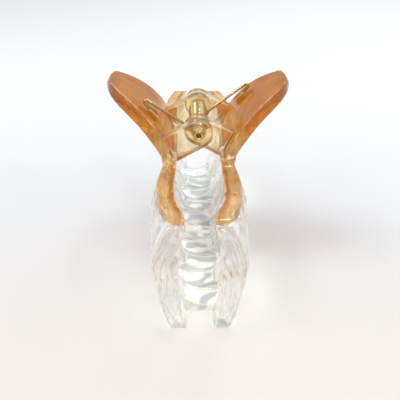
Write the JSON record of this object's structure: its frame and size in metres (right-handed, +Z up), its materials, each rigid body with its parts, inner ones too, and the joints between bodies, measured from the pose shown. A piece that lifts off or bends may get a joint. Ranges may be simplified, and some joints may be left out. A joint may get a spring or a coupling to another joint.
{
  "type": "claw clip",
  "caption": "Spring-closed hair claw: two curved, toothed jaws with thumb handles hinged on one pin at mid length, amber rims and handles over clear walls with interlocking teeth.",
  "frame": {"origin": "bottom centre of the closed clip: midway along the hinge pin, on the plane that the tooth tips stand on", "axes": "+X across the jaws towards the right handle, +Y along the hinge pin, +Z up from the tooth tips to the handles"},
  "size_m": [0.0462, 0.092, 0.0443],
  "materials": {
    "amber_plastic": "glossy translucent caramel plastic",
    "clear_plastic": "clear glossy plastic with a crackled surface",
    "pin_brass": "polished pale brass",
    "spring_wire": "bright wire plated pale gold"
  },
  "bodies": {
    "left_jaw": {"left_frame": "amber_plastic", "left_shell": "clear_plastic", "hinge_pin": "pin_brass", "torsion_spring": "spring_wire"},
    "right_jaw": {"right_frame": "amber_plastic", "right_shell": "clear_plastic"}
  },
  "joints": [
    {"name": "jaw_pivot", "type": "hinge", "parent": "left_jaw", "child": "right_jaw", "pos_m": [0, 0, 0.0335], "axis": [0, -1, 0], "range_deg": [0, 95], "stiffness_Nm_per_rad": 0.12, "springref_deg": -45.84, "deforming": ["torsion_spring"]}
  ]
}
